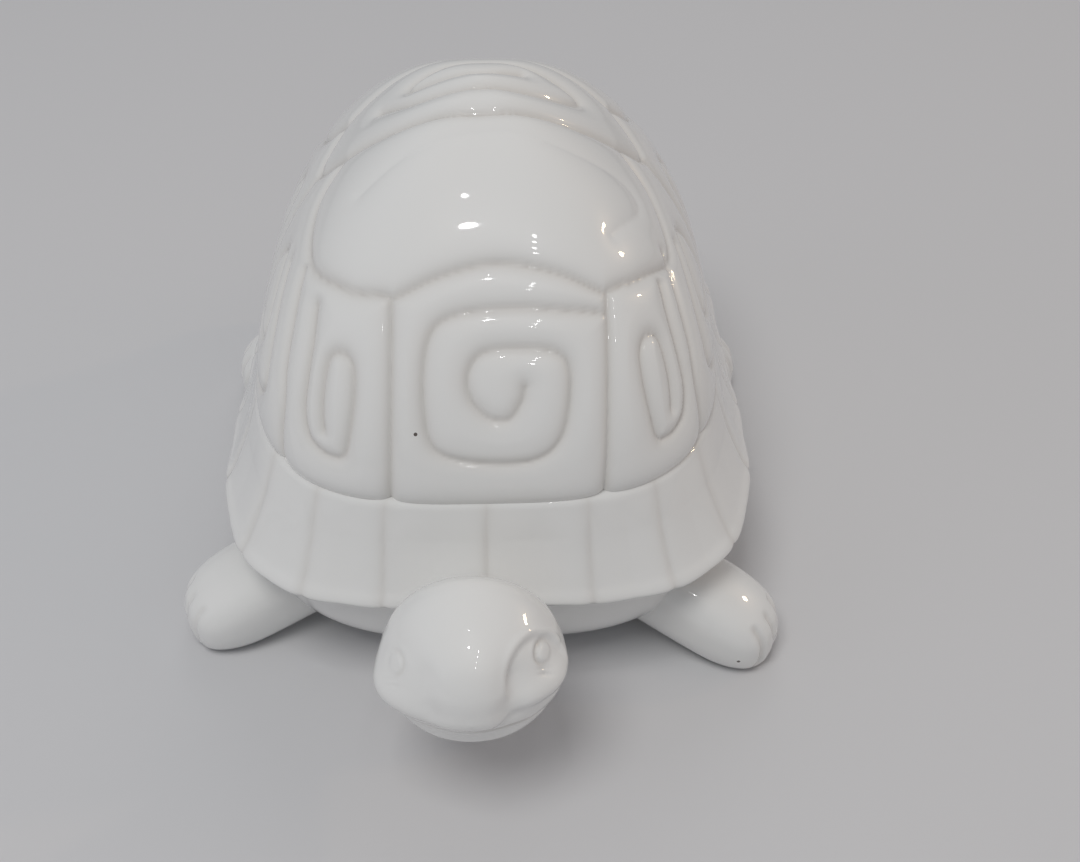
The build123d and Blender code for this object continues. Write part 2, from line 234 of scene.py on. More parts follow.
class Tree:
    """A node tree that grows a mesh, with named inputs and short ways to add its nodes."""

    def __init__(self, name):
        self.group = bpy.data.node_groups.new(name, "GeometryNodeTree")
        self.keys = {}
        self.group.interface.new_socket(
            "Geometry", in_out="OUTPUT", socket_type="NodeSocketGeometry"
        )
        self.start = self.group.nodes.new("NodeGroupInput")

    def input(self, name, value, kind="Float"):
        """A named input of the tree, with the value that this figure gives it."""
        item = self.group.interface.new_socket(
            name, in_out="INPUT", socket_type="NodeSocket" + kind
        )
        self.keys[name] = (item.identifier, value)
        return self.start.outputs[name]

    def link(self, value, socket):
        """Feeds a socket from another node's output, or sets it to a plain value."""
        if isinstance(value, bpy.types.NodeSocket):
            self.group.links.new(value, socket)
        else:
            socket.default_value = value

    def node(self, kind, settings=None, **inputs):
        """A node with its settings and inputs; a low line in an input's name is a space."""
        made = self.group.nodes.new(kind)
        for key, value in (settings or {}).items():
            setattr(made, key, value)
        for key, value in inputs.items():
            self.link(value, made.inputs[key.replace("_", " ")])
        return made

    def calc(self, operation, *values):
        """One step of arithmetic."""
        made = self.node("ShaderNodeMath", {"operation": operation})
        for socket, value in zip(made.inputs, values):
            self.link(value, socket)
        return made.outputs[0]

    def clamp(self, value):
        return self.calc("MINIMUM", self.calc("MAXIMUM", value, 0.0), 1.0)

    def point(self, x, y, z):
        return self.node("ShaderNodeCombineXYZ", X=x, Y=y, Z=z).outputs[0]

    def split(self, vector):
        return self.node("ShaderNodeSeparateXYZ", Vector=vector).outputs

    def position(self):
        return self.split(self.node("GeometryNodeInputPosition").outputs[0])

    def normal(self):
        return self.node("GeometryNodeInputNormal").outputs[0]

    def off_middle(self):
        """How far across and along each point lies from the middle of the shell."""
        x, y, _ = self.position()
        return (
            self.calc("SUBTRACT", x, SHELL_X * MM), self.calc("SUBTRACT", y, SHELL_Y * MM)
        )

    def seated(self, x, y, z, base):
        """A point given from the middle of the shell and from the height of a base."""
        middle = (SHELL_X, SHELL_Y, base)
        return self.point(*[
            self.calc("ADD", value, shift * MM) for value, shift in zip((x, y, z), middle)
        ])

    def plan_size(self, x, y, squareness):
        """How far out a place lies on a plan that is rounder or squarer."""
        x = self.calc("POWER", self.calc("ABSOLUTE", x), squareness)
        y = self.calc("POWER", self.calc("ABSOLUTE", y), squareness)
        return self.calc("POWER", self.calc("ADD", x, y), self.calc("DIVIDE", 1.0, squareness))

    def moved(self, geometry, **where):
        """The geometry with its points put at a Position or shifted by an Offset."""
        return self.node("GeometryNodeSetPosition", Geometry=geometry, **where).outputs[0]

    def distance(self, lines):
        """Distance from each point to the nearest of the lines."""
        info = self.node("GeometryNodeObjectInfo", Object=lines)
        near = self.node(
            "GeometryNodeProximity", {"target_element": "EDGES"}, Geometry=info.outputs["Geometry"]
        )
        return near.outputs["Distance"]

    def fall(self, distance, width, depth):
        """A groove as deep as said at the line, fading out over the width."""
        share = self.calc(
            "EXPONENT", self.calc("DIVIDE", self.calc("MULTIPLY", distance, -1.0), width)
        )
        return self.calc("MULTIPLY", share, depth)

    def shaded_and_pooled(self, geometry, value):
        """The geometry with a mark of how much painted shade and pooled glaze darken each point.
        """
        return self.node(
            "GeometryNodeStoreNamedAttribute", {"data_type": "FLOAT", "domain": "POINT"},
            Geometry=geometry, Name="pooling", Value=value,
        ).outputs[0]

    def welded(self, geometry, distance):
        return self.node(
            "GeometryNodeMergeByDistance", Geometry=geometry, Distance=distance
        ).outputs[0]

    def close(self, geometry, material):
        """Ends the tree with a real mesh in the given material."""
        real = self.node("GeometryNodeRealizeInstances", Geometry=geometry).outputs[0]
        glazed = self.node("GeometryNodeSetMaterial", Geometry=real, Material=material).outputs[0]
        self.node("NodeGroupOutput", Geometry=glazed)


def grown(name, tree):
    """Runs a node tree and keeps its result as a plain mesh."""
    obj = new_object(name, bpy.data.meshes.new(name))
    modifier = obj.modifiers.new("shape", "NODES")
    modifier.node_group = tree.group
    for identifier, value in tree.keys.values():
        modifier[identifier] = value
    bpy.context.view_layer.update()
    depsgraph = bpy.context.evaluated_depsgraph_get()
    mesh = bpy.data.meshes.new_from_object(
        obj.evaluated_get(depsgraph), preserve_all_data_layers=True, depsgraph=depsgraph
    )
    obj.modifiers.clear()
    obj.data = mesh
    mesh.name = name
    mesh.polygons.foreach_set("use_smooth", [True] * len(mesh.polygons))
    return obj


# ---------- glaze ----------

# The glazed body, and the darker, warmer tone painted in the carving: painted shade together with
# pooled glaze
BODY_COLOUR = (0.80, 0.80, 0.785, 1)
SHADE_AND_POOL_COLOUR = (0.50, 0.445, 0.385, 1)
# Two dark specks in the glaze
SPECKS = [(-9.52, -40.91, 54.52), (48.13, -49.48, 4.73)]
SPECK_REACH = 0.32
SPECK_COLOUR = (0.10, 0.08, 0.07, 1)


def set_inputs(node, **values):
    """Sets named inputs of a node; a low line in a name is a space."""
    for name, value in values.items():
        node.inputs[name.replace("_", " ")].default_value = value
    return node


def glaze_material():
    """White body under a clear gloss, darker and warmer in the carving, where painted shade and
    pooled glaze are mixed in.
    """
    mat = bpy.data.materials.new("white_glaze")
    mat.use_nodes = True
    nodes, links = mat.node_tree.nodes, mat.node_tree.links
    shader = set_inputs(
        nodes["Principled BSDF"], Roughness=0.32, IOR=1.5,
        Coat_Weight=1.0, Coat_Roughness=0.035, Coat_IOR=1.52,
    )
    place = nodes.new("ShaderNodeTexCoord")
    shade_and_pool = nodes.new("ShaderNodeAttribute")
    shade_and_pool.attribute_name = "pooling"
    # Painted shade and pooled glaze: marked points are mixed towards the darker, warmer tone
    mix = nodes.new("ShaderNodeMix")
    mix.data_type = "RGBA"
    set_inputs(mix, A=BODY_COLOUR, B=SHADE_AND_POOL_COLOUR)
    links.new(shade_and_pool.outputs["Fac"], mix.inputs["Factor"])
    last = mix.outputs["Result"]
    for spot in SPECKS:
        gap = nodes.new("ShaderNodeVectorMath")
        gap.operation = "DISTANCE"
        gap.inputs[1].default_value = [c * MM for c in spot]
        links.new(place.outputs["Object"], gap.inputs[0])
        near = nodes.new("ShaderNodeMath")
        near.operation = "LESS_THAN"
        near.inputs[1].default_value = SPECK_REACH * MM
        links.new(gap.outputs["Value"], near.inputs[0])
        dot = nodes.new("ShaderNodeMix")
        dot.data_type = "RGBA"
        set_inputs(dot, B=SPECK_COLOUR)
        links.new(near.outputs[0], dot.inputs["Factor"])
        links.new(last, dot.inputs["A"])
        last = dot.outputs["Result"]
    links.new(last, shader.inputs["Base Color"])
    # The surface waves a little, as poured and dipped ware does
    wave = set_inputs(nodes.new("ShaderNodeTexNoise"), Scale=55.0, Detail=1.0)
    links.new(place.outputs["Object"], wave.inputs["Vector"])
    bump = set_inputs(nodes.new("ShaderNodeBump"), Strength=0.12, Distance=0.0012)
    links.new(wave.outputs[0], bump.inputs["Height"])
    links.new(bump.outputs["Normal"], shader.inputs["Normal"])
    links.new(bump.outputs["Normal"], shader.inputs["Coat Normal"])
    return mat


GLAZE = glaze_material()


# ---------- shell ----------

# Keeps the middle of the grid from being divided by nothing
TINY = 1e-5
# The faint ring is as deep as this share of a shoulder
FAINT_SHARE = 0.9
# Width of the painted shade and pooled glaze, and how much of it lies in the grooves and round the
# foot
SHADE_AND_POOL_WIDTH = 1.0
SHELL_SHADE_AND_POOL, FOOT_SHADE_AND_POOL = 0.38, 0.15
# Height under which a point belongs to the lowest ring, and how far that ring sinks into the skirt
LOWEST_RING = 0.08
SINK = 2.0
SHELL_WELD, SKIRT_WELD = 0.002, 0.004


def shell_tree():
    """The dome with its carved plates, closed at the foot."""
    t = Tree("domed shell")
    half_width = t.input("Half width", HALF_WIDTH * MM)
    half_length = t.input("Half length", HALF_LENGTH * MM)
    rise = t.input("Rise", RISE * MM)
    squareness = t.input("Squareness", SQUARENESS)
    fullness = t.input("Fullness", FULLNESS)
    borders = t.input("Border lines", line_object("border lines", border_lines), "Object")
    spirals = t.input("Spiral lines", line_object("spiral lines", spiral_lines), "Object")
    faint = t.input("Faint lines", line_object("faint lines", faint_lines), "Object")
    border_depth = t.input("Border depth", 0.8 * MM)
    spiral_depth = t.input("Spiral depth", 0.7 * MM)
    groove_width = t.input("Groove width", 0.9 * MM)
    shoulder_depth = t.input("Shoulder depth", 0.55 * MM)
    shoulder_width = t.input("Shoulder width", 2.2 * MM)
    foot_depth = t.input("Foot depth", 0.7 * MM)
    foot_height = t.input("Foot height", 1.4 * MM)
    material = t.input("Glaze", GLAZE, "Material")
    count = t.input("Points across", 308, "Int")

    # A square grid from -1 to 1 is drawn out to the plan's outline and lifted into the dome
    grid = t.node(
        "GeometryNodeMeshGrid", Size_X=2.0, Size_Y=2.0, Vertices_X=count, Vertices_Y=count
    )
    s, v, _ = t.position()
    outward = t.calc("MAXIMUM", t.calc("ABSOLUTE", s), t.calc("ABSOLUTE", v))
    outward = t.calc("MAXIMUM", outward, TINY)
    s = t.calc("DIVIDE", s, outward)
    v = t.calc("DIVIDE", v, outward)
    lift = t.calc("MULTIPLY", t.calc("SUBTRACT", 1.0, outward), math.pi / 2)
    power = t.calc("DIVIDE", 2.0, fullness)
    reach = t.calc("POWER", t.calc("MAXIMUM", t.calc("COSINE", lift), 0.0), power)
    up = t.calc("POWER", t.calc("MAXIMUM", t.calc("SINE", lift), 0.0), power)
    reach = t.calc("DIVIDE", reach, t.plan_size(s, v, squareness))
    x = t.calc("MULTIPLY", t.calc("MULTIPLY", s, reach), half_width)
    y = t.calc("MULTIPLY", t.calc("MULTIPLY", v, reach), half_length)
    z = t.calc("MULTIPLY", up, rise)
    dome = t.moved(grid.outputs[0], Position=t.seated(x, y, z, BASE_Z))

    # Borders and spirals are grooves with soft shoulders; the faint ring is only a shoulder
    to_border, to_spiral = t.distance(borders), t.distance(spirals)
    nearest = t.calc("MINIMUM", to_border, to_spiral)
    height = t.calc("SUBTRACT", t.position()[2], BASE_Z * MM)
    faint_depth = t.calc("MULTIPLY", shoulder_depth, FAINT_SHARE)
    depth = t.calc(
        "MAXIMUM", t.fall(to_border, groove_width, border_depth),
        t.fall(to_spiral, groove_width, spiral_depth),
    )
    depth = t.calc("ADD", depth, t.fall(nearest, shoulder_width, shoulder_depth))
    depth = t.calc("ADD", depth, t.fall(t.distance(faint), shoulder_width, faint_depth))
    depth = t.calc("ADD", depth, t.fall(height, foot_height, foot_depth))
    # Painted shade and pooled glaze darken the grooves and the crease round the foot
    pooling = t.calc(
        "MAXIMUM", t.fall(nearest, SHADE_AND_POOL_WIDTH * MM, SHELL_SHADE_AND_POOL),
        t.fall(height, SHADE_AND_POOL_WIDTH * MM, FOOT_SHADE_AND_POOL),
    )
    marked = t.shaded_and_pooled(dome, pooling)

    # The carving goes straight in, but level along the lowest ring, which stays on its base
    lowest = t.calc("SUBTRACT", 1.0, t.calc("DIVIDE", height, LOWEST_RING * MM))
    lowest = t.calc("MAXIMUM", lowest, 0.0)
    above = t.calc("SUBTRACT", 1.0, lowest)
    px, py = t.off_middle()
    far = t.calc("SQRT", t.calc("ADD", t.calc("MULTIPLY", px, px), t.calc("MULTIPLY", py, py)))
    level = (t.calc("DIVIDE", px, far), t.calc("DIVIDE", py, far), 0.0)
    inward = t.calc("MULTIPLY", depth, -1.0)
    steps = []
    for straight, flat in zip(t.split(t.normal()), level):
        way = t.calc("ADD", t.calc("MULTIPLY", straight, above), t.calc("MULTIPLY", flat, lowest))
        steps.append(t.calc("MULTIPLY", way, inward))
    carved = t.moved(marked, Offset=t.point(*steps))

    # The foot of the dome sinks into the skirt and is closed there
    faces = t.node("GeometryNodeInputMeshEdgeNeighbors").outputs[0]
    is_open = t.node(
        "FunctionNodeCompare", {"data_type": "INT", "operation": "EQUAL"}, A=faces, B=1
    )
    sunk = t.node(
        "GeometryNodeExtrudeMesh", {"mode": "EDGES"}, Mesh=carved, Selection=is_open.outputs[0],
        Offset=t.point(0.0, 0.0, -1.0), Offset_Scale=SINK * MM,
    )
    ring = t.node(
        "GeometryNodeMeshToCurve", Mesh=sunk.outputs["Mesh"], Selection=sunk.outputs["Top"]
    ).outputs[0]
    lid = t.node("GeometryNodeFillCurve", {"mode": "NGONS"}, Curve=ring).outputs[0]
    lid = t.node("GeometryNodeFlipFaces", Mesh=lid).outputs[0]
    lid = t.moved(lid, Offset=(0, 0, (BASE_Z - SINK) * MM))
    join = t.group.nodes.new("GeometryNodeJoinGeometry")
    for part in (lid, sunk.outputs["Mesh"]):
        t.link(part, join.inputs[0])
    t.close(t.welded(join.outputs[0], SHELL_WELD * MM), material)
    return t


# ---------- skirt ----------

SKIRT_TOP_HALF = (HALF_WIDTH + 0.3, HALF_LENGTH + 0.3)
# Section of the skirt from the top, down the outside, round the lip and back up: out and up
SKIRT_SECTION = [
    (-4.2, 18.4), (-2.2, 19.2), (-0.75, 18.7), (0.15, 17.0), (1.5, 13.8), (2.95, 10.1),
    (4.45, 6.7), (5.75, 4.1), (6.75, 2.7), (7.2, 1.6), (6.95, 0.6), (6.2, 0.12), (5.2, 0.3),
    (3.4, 1.6), (1.0, 5.0), (-1.2, 9.6), (-3.0, 13.2), (-5.0, 15.4), (-5.4, 17.4), (-4.2, 18.4),
]
# The rows of the section that show outside
SKIRT_OUTSIDE = slice(2, 11)
SECTION_STEPS = 5
RIM_SQUARENESS = 3.75
# Height over which the plan turns from the rim's squareness to the dome's
SQUARE_HEIGHT = 19.0
# The rim draws in a little along the flanks: how much, where, over which share squared, how high
WAIST, WAIST_PLACE, WAIST_SPREAD = 1.4, 0.2, 0.16
WAIST_HEIGHT = 18.0
# Height at which the grooves reach the shell
GROOVE_HEIGHT = 18.3
# The relief fades out over this height, below the line where skirt and shell meet
SKIRT_TOP = 18.4
FADE_HEIGHT = 6.0
# Width and strength of the painted shade and pooled glaze in the grooves
SKIRT_SHADE_AND_POOL_WIDTH, SKIRT_SHADE_AND_POOL = 0.9, 0.22
# How far from the shell's middle line a surface has to face before it is fully fluted
FACING = 12.0

# Grooves of the skirt: place on the rim and place at the shell, as shares of half sizes
SKIRT_GROOVES = [
    ((0.0, -1.0), (0.0, -1.0)), ((0.352, -0.99), (0.395, -0.985)),
    ((0.640, -0.945), (0.655, -0.90)), ((0.880, -0.78), (0.845, -0.745)),
    ((0.985, -0.47), (0.965, -0.46)), ((1.0, -0.17), (1.0, -0.17)), ((1.0, 0.13), (1.0, 0.13)),
    ((0.99, 0.43), (0.975, 0.43)), ((0.89, 0.75), (0.86, 0.72)), ((0.650, 0.94), (0.665, 0.895)),
    ((0.352, 0.99), (0.395, 0.985)), ((0.0, 1.0), (0.0, 1.0)),
]


def skirt_profile():
    """The section as a smooth closed line with its running share."""
    line = eased(SKIRT_SECTION, SECTION_STEPS)
    run = np.concatenate([[0], np.cumsum(np.linalg.norm(np.diff(line, axis=0), axis=1))])
    return line, run / run[-1]


def skirt_squareness(up):
    """The skirt's plan is squarer at the rim and takes on the dome's shape towards the top."""
    return RIM_SQUARENESS + (SQUARENESS - RIM_SQUARENESS) * np.clip(up / SQUARE_HEIGHT, 0, 1)


def skirt_lines():
    """The grooves between the skirt's plates, laid on its outside."""
    lines = []
    section = eased(SKIRT_SECTION[SKIRT_OUTSIDE], SECTION_STEPS)
    for foot, head in SKIRT_GROOVES:
        # A groove in the middle of an end has no twin on the other side
        for side in (-1, 1) if foot[0] else (-1,):
            points = []
            for out, up in section:
                share = np.clip(up / GROOVE_HEIGHT, 0, 1)
                x = side * (foot[0] + (head[0] - foot[0]) * share)
                y = foot[1] + (head[1] - foot[1]) * share
                n = skirt_squareness(up)
                size = (abs(x) ** n + abs(y) ** n) ** (1 / n)
                drawn = WAIST * math.exp(-((y / size - WAIST_PLACE) ** 2) / WAIST_SPREAD)
                drawn *= max(0.0, 1 - up / WAIST_HEIGHT)
                points.append((
                    SHELL_X + x / size * (SKIRT_TOP_HALF[0] + out - drawn),
                    SHELL_Y + y / size * (SKIRT_TOP_HALF[1] + out),
                    RIM_Z + up,
                ))
            lines.append(np.array(points))
    return lines


def skirt_tree():
    """The flared skirt: one closed section run round the shell, then grooved and fluted."""
    t = Tree("marginal skirt")
    half_width = t.input("Top half width", SKIRT_TOP_HALF[0] * MM)
    half_length = t.input("Top half length", SKIRT_TOP_HALF[1] * MM)
    top_square = t.input("Top squareness", SQUARENESS)
    rim_square = t.input("Rim squareness", RIM_SQUARENESS)
    lines = t.input("Groove lines", line_object("skirt lines", skirt_lines()), "Object")
    waist = t.input("Waist", WAIST * MM)
    groove_depth = t.input("Groove depth", 0.8 * MM)
    groove_width = t.input("Groove width", 1.15 * MM)
    flute_depth = t.input("Flute depth", 0.9 * MM)
    flute_width = t.input("Flute width", 5.0 * MM)
    material = t.input("Glaze", GLAZE, "Material")
    around = t.input("Points around", 760, "Int")
    through = t.input("Points through", 96, "Int")

    # A grid whose one side runs round the shell and whose other side runs round the section
    grid = t.node(
        "GeometryNodeMeshGrid", Size_X=1.0, Size_Y=1.0, Vertices_X=around, Vertices_Y=through
    )
    u, v, _ = t.position()
    turn = t.calc("MULTIPLY", u, 2 * math.pi)
    v = t.calc("ADD", v, 0.5)
    profile, run = skirt_profile()

    def section(column):
        """Reach out (0) or height (1) of the section at its running share."""
        values = profile[:, column]
        low, span = float(values.min()), float(np.ptp(values))
        curve = t.node("ShaderNodeFloatCurve", Value=v)
        points = curve.mapping.curves[0].points
        for place, value in zip(run, (values - low) / span):
            if place in (0, 1):
                points[0 if place == 0 else -1].location = (place, value)
            else:
                points.new(place, value)
        for p in points:
            p.handle_type = "VECTOR"
        curve.mapping.update()
        return t.calc("ADD", t.calc("MULTIPLY", curve.outputs[0], span * MM), low * MM)

    out, up = section(0), section(1)
    risen = t.calc("DIVIDE", up, SQUARE_HEIGHT * MM)
    square = t.calc("MULTIPLY", t.calc("SUBTRACT", top_square, rim_square), risen)
    square = t.calc("ADD", rim_square, square)
    across, along = t.calc("SINE", turn), t.calc("COSINE", turn)
    size = t.plan_size(across, along, square)
    across, along = t.calc("DIVIDE", across, size), t.calc("DIVIDE", along, size)
    off = t.calc("SUBTRACT", along, WAIST_PLACE)
    drawn = t.fall(t.calc("MULTIPLY", off, off), WAIST_SPREAD, waist)
    low_share = t.calc("SUBTRACT", 1.0, t.calc("DIVIDE", up, WAIST_HEIGHT * MM))
    drawn = t.calc("MULTIPLY", drawn, t.calc("MAXIMUM", low_share, 0.0))
    wide = t.calc("SUBTRACT", t.calc("ADD", half_width, out), drawn)
    x = t.calc("MULTIPLY", across, wide)
    y = t.calc("MULTIPLY", along, t.calc("ADD", half_length, out))
    band = t.moved(grid.outputs[0], Position=t.seated(x, y, up, RIM_Z))
    closed = t.welded(band, SKIRT_WELD * MM)

    # Each plate is a shallow flute, highest a little way off its grooves
    gap = t.distance(lines)
    hollow = t.calc("SUBTRACT", 1.0, t.fall(gap, flute_width, 1.0))
    depth = t.calc(
        "ADD", t.fall(gap, groove_width, groove_depth), t.calc("MULTIPLY", hollow, flute_depth)
    )
    # The relief dies out towards the shell, where the skirt keeps its full size
    below_top = t.calc("SUBTRACT", (RIM_Z + SKIRT_TOP) * MM, t.position()[2])
    fade = t.clamp(t.calc("DIVIDE", below_top, FADE_HEIGHT * MM))
    depth = t.calc("MULTIPLY", depth, fade)
    # Painted shade and pooled glaze darken the skirt's grooves
    marked = t.shaded_and_pooled(closed, t.fall(gap, SKIRT_SHADE_AND_POOL_WIDTH * MM, SKIRT_SHADE_AND_POOL))
    # Only the outside is fluted: the inside faces the belly and stays plain
    normal = t.normal()
    nx, ny, _ = t.split(normal)
    px, py = t.off_middle()
    facing = t.calc("ADD", t.calc("MULTIPLY", nx, px), t.calc("MULTIPLY", ny, py))
    outside = t.clamp(t.calc("MULTIPLY", facing, 1 / (FACING * MM)))
    depth = t.calc("MULTIPLY", t.calc("MULTIPLY", depth, outside), -1.0)
    inward = t.node("ShaderNodeVectorMath", {"operation": "SCALE"}, Vector=normal, Scale=depth)
    t.close(t.moved(marked, Offset=inward.outputs[0]), material)
    return t


# ---------- shaped skins ----------

# Keeps the closest points of a skin from being divided by nothing
TINIEST = 1e-9


def skin(name, rows, pooling=None):
    """A closed skin over rings of points, with a pole at each end."""
    count, around, _ = rows.shape
    start, end = rows[0].mean(axis=0), rows[-1].mean(axis=0)
    verts = np.vstack([rows.reshape(-1, 3), start, end]) * MM
    last_row = (count - 1) * around
    faces = []
    for low in range(0, last_row, around):
        high = low + around
        for c in range(around):
            d = (c + 1) % around
            faces.append((low + c, low + d, high + d, high + c))
    first, last = count * around, count * around + 1
    for c in range(around):
        d = (c + 1) % around
        faces.append((first, d, c))
        faces.append((last, last_row + c, last_row + d))
    mesh = bpy.data.meshes.new(name)
    mesh.from_pydata([tuple(v) for v in verts], [], faces)
    mesh.update()
    if sum(p.area * p.center.dot(p.normal) for p in mesh.polygons) < 0:
        mesh.flip_normals()
    # Painted shade and pooled glaze, kept as a mark on each point
    if pooling is not None:
        values = np.concatenate([pooling.reshape(-1), [0, 0]]).astype(np.float32)
        mesh.attributes.new("pooling", "FLOAT", "POINT").data.foreach_set("value", values)
    mesh.polygons.foreach_set("use_smooth", [True] * len(mesh.polygons))
    mesh.materials.append(GLAZE)
    return new_object(name, mesh)


def skin_normals(rows):
    """Outward directions of a ring-built skin."""
    along = np.gradient(rows, axis=0)
    around = np.roll(rows, -1, axis=1) - np.roll(rows, 1, axis=1)
    n = np.cross(along, around)
    n /= np.linalg.norm(n, axis=2, keepdims=True) + TINIEST
    middle = rows.mean(axis=1, keepdims=True)
    return -n if ((rows - middle) * n).sum() < 0 else n


def smooth(start, end, value):
    """Rises softly from 0 to 1 as the value goes from start to end."""
    t = np.clip((value - start) / (end - start), 0, 1)
    return t * t * (3 - 2 * t)


def mound(distance, width):
    """1 at no distance, falling off like a bell."""
    return np.exp(-((distance / np.array(width)) ** 2))


def along_line(rows, line):
    """Distance of each point to a line of points."""
    best = np.full(rows.shape[:2], np.inf)
    for a, b in zip(line[:-1], line[1:]):
        way = b - a
        t = np.clip(((rows - a) @ way) / (way @ way), 0, 1)
        best = np.minimum(best, np.linalg.norm(rows - a - t[..., None] * way, axis=2))
    return best


def ring_turn(around):
    return np.linspace(0, 2 * math.pi, around, endpoint=False)


def ring_shape(turn, squareness):
    """Across and up on a ring of the given squareness, 2 being round."""
    c, s = np.cos(turn), np.sin(turn)
    power = 2 / squareness
    return np.sign(c) * np.abs(c) ** power, np.sign(s) * np.abs(s) ** power


# ---------- head ----------

HEAD_X = -0.5
NOSE_Y = -82.75
HEAD_LENGTH = 30.0
CHIN_Z = 19.0
HEAD_HEIGHT = 25.0
HEAD_HALF = 15.4
# How far back, half width, top and underside, as shares of the head's sizes
HEAD_ROWS = [
    (0.0, 0.0, 0.47, 0.47), (0.012, 0.20, 0.61, 0.34), (0.05, 0.43, 0.72, 0.22),
    (0.13, 0.70, 0.83, 0.10), (0.27, 0.93, 0.93, 0.02), (0.42, 1.0, 0.99, 0.0),
    (0.54, 0.985, 1.015, 0.01), (0.64, 0.93, 0.985, 0.02), (0.74, 0.85, 0.87, 0.02),
    (0.84, 0.765, 0.70, 0.02), (0.95, 0.69, 0.53, 0.0), (1.08, 0.64, 0.42, -0.08),
    (1.22, 0.61, 0.30, -0.20), (1.45, 0.60, 0.18, -0.36), (1.75, 0.60, 0.14, -0.42),
]
# Height of a ring's widest place, as a share of the ring's height
CHEEK_SHARE = 0.40
HEAD_RINGS = 190
HEAD_AROUND = 200
# The rings lie closer together at the nose
RING_EASE = 1.15
# Squareness of the rings above and below their widest place
BROW_SQUARENESS, JAW_SQUARENESS = 2.0, 1.95

# Places on the face: out from the middle of the head, along, and up. A pair is a start and an
# end of a soft change, unless said otherwise.
# Recess that holds the eye: its middle, the heights over which its brow sets in, and the
# distance and width of its rim, which ends a little way out
RECESS = (11.3, -76.6, 34.4)
BROW_UP = (32.5, 37.0)
BROW_SLOPE, BROW_OUT = 0.25, 8.0
RIM_AWAY, RIM_WIDTH, RIM_OUT = 7.4, 0.6, 14.0
# Hollow between the nose and the cheek, down to the jaw
HOLLOW = [(6.6, -78.4, 36.4), (7.2, -80.0, 34.2), (6.2, -81.6, 31.6)]
HOLLOW_WIDTH = 2.5
# Cheek: how far out and along it sits, and its width each way
CHEEK_OUT, CHEEK_Y = 13.4, -74.0
CHEEK_WIDTH = (4.0, 6.0, 3.6)
# Eye: its middle, its lean back as seen from above and in front, half sizes and near surroundings
EYE = (12.0, -74.3, 37.3)
EYE_LEAN = (0.65, 0.76)
EYE_HALF = (1.15, 1.75)
EYE_NEAR = 9.0
# Crease and lid: place in half sizes of the eye and width; then the sides they show on
CREASE_RING, LID_RING = (1.12, 0.24), (1.6, 0.3)
CREASE_SIDE, LID_SIDE = (0.9, -0.9), (-0.8, 0.8)
# Two folds under the eye: how far under it, thickness and half length
FOLDS = (2.7, 3.6)
FOLD_THICK, FOLD_LONG = 0.28, 0.9
# Nose: half width of the tongue, and where it sets in along and up
NOSE_HALF = 6.2
NOSE_ALONG, NOSE_UP = (-74.0, -80.0), (24.0, 29.0)
# Upper jaw: height, how much higher it is on one side and where that begins and ends
JAW_Z, JAW_LIFT, JAW_LIFT_OVER = 29.6, 2.1, (2.5, 8.5)
JAW_FRONT, JAW_EDGE, CHIN_UP = (-67.0, -73.0), (0.2, -2.4), (22.4, 25.5)
JAW_LIP, JAW_LIP_WIDTH = 1.0, 1.5
# Mouth line: a place on it, its slope and width, and where it sets in along and across
MOUTH_Y, MOUTH_Z, MOUTH_SLOPE, MOUTH_WIDTH = -81.7, 26.6, 0.27, 0.4
MOUTH_ALONG, MOUTH_ACROSS = (-75.5, -77.5), (-1.0, 4.0)
# The two sides differ: strength of the carving, start and end of the recess's edge, height of
# its rim, fullness and height of the cheek, and how much higher the eye sits
FACE = {
    -1: dict(strength=0.4, edge=(8.6, 4.0), rim=0.0, cheek=1.0, cheek_z=29.4, eye_lift=-1.1),
    1: dict(strength=1.0, edge=(7.2, 6.1), rim=0.2, cheek=0.8, cheek_z=31.0, eye_lift=0.2),
}
# How far the forms of the face go in or stand out
RECESS_DEPTH, HOLLOW_DEPTH, CREASE_DEPTH, FOLD_DEPTH, MOUTH_DEPTH = 0.8, 1.1, 0.4, 0.45, 0.4
BALL_RISE, LID_RISE, NOSE_RISE, JAW_RISE, JAW_STEP = 0.35, 0.15, 0.3, 0.2, 0.9
# How much painted shade and pooled glaze darken the crease of an eye, the mouth and the creases
# between the claws
CREASE_SHADE_AND_POOL, MOUTH_SHADE_AND_POOL, CLAW_SHADE_AND_POOL = 0.35, 0.4, 0.3


def head_rings():
    """Rings of points round the head, from the nose back to the neck."""
    stations = eased(HEAD_ROWS, 60)
    depth = np.sqrt(np.clip(stations[:, 0], 0, None))
    spread = np.linspace(0.0, 1, HEAD_RINGS) ** RING_EASE * depth[-1]
    turn = ring_turn(HEAD_AROUND)
    # A broad brow above the cheeks and a narrower jaw below them
    squareness = np.where(np.sin(turn) > 0, BROW_SQUARENESS, JAW_SQUARENESS)
    across, up = ring_shape(turn, squareness)
    rings = []
    for pick in np.interp(spread, depth, np.arange(len(depth)))[1:]:
        low = int(pick)
        high = min(low + 1, len(stations) - 1)
        share = pick - low
        back, wide, top, under = stations[low] * (1 - share) + stations[high] * share
        widest = under + (top - under) * CHEEK_SHARE
        tall = np.where(up > 0, top - widest, widest - under)
        rings.append(np.column_stack([
            HEAD_X + HEAD_HALF * wide * across,
            np.full(HEAD_AROUND, NOSE_Y + HEAD_LENGTH * back),
            CHIN_Z + HEAD_HEIGHT * (widest + tall * up),
        ]))
    return np.array(rings)


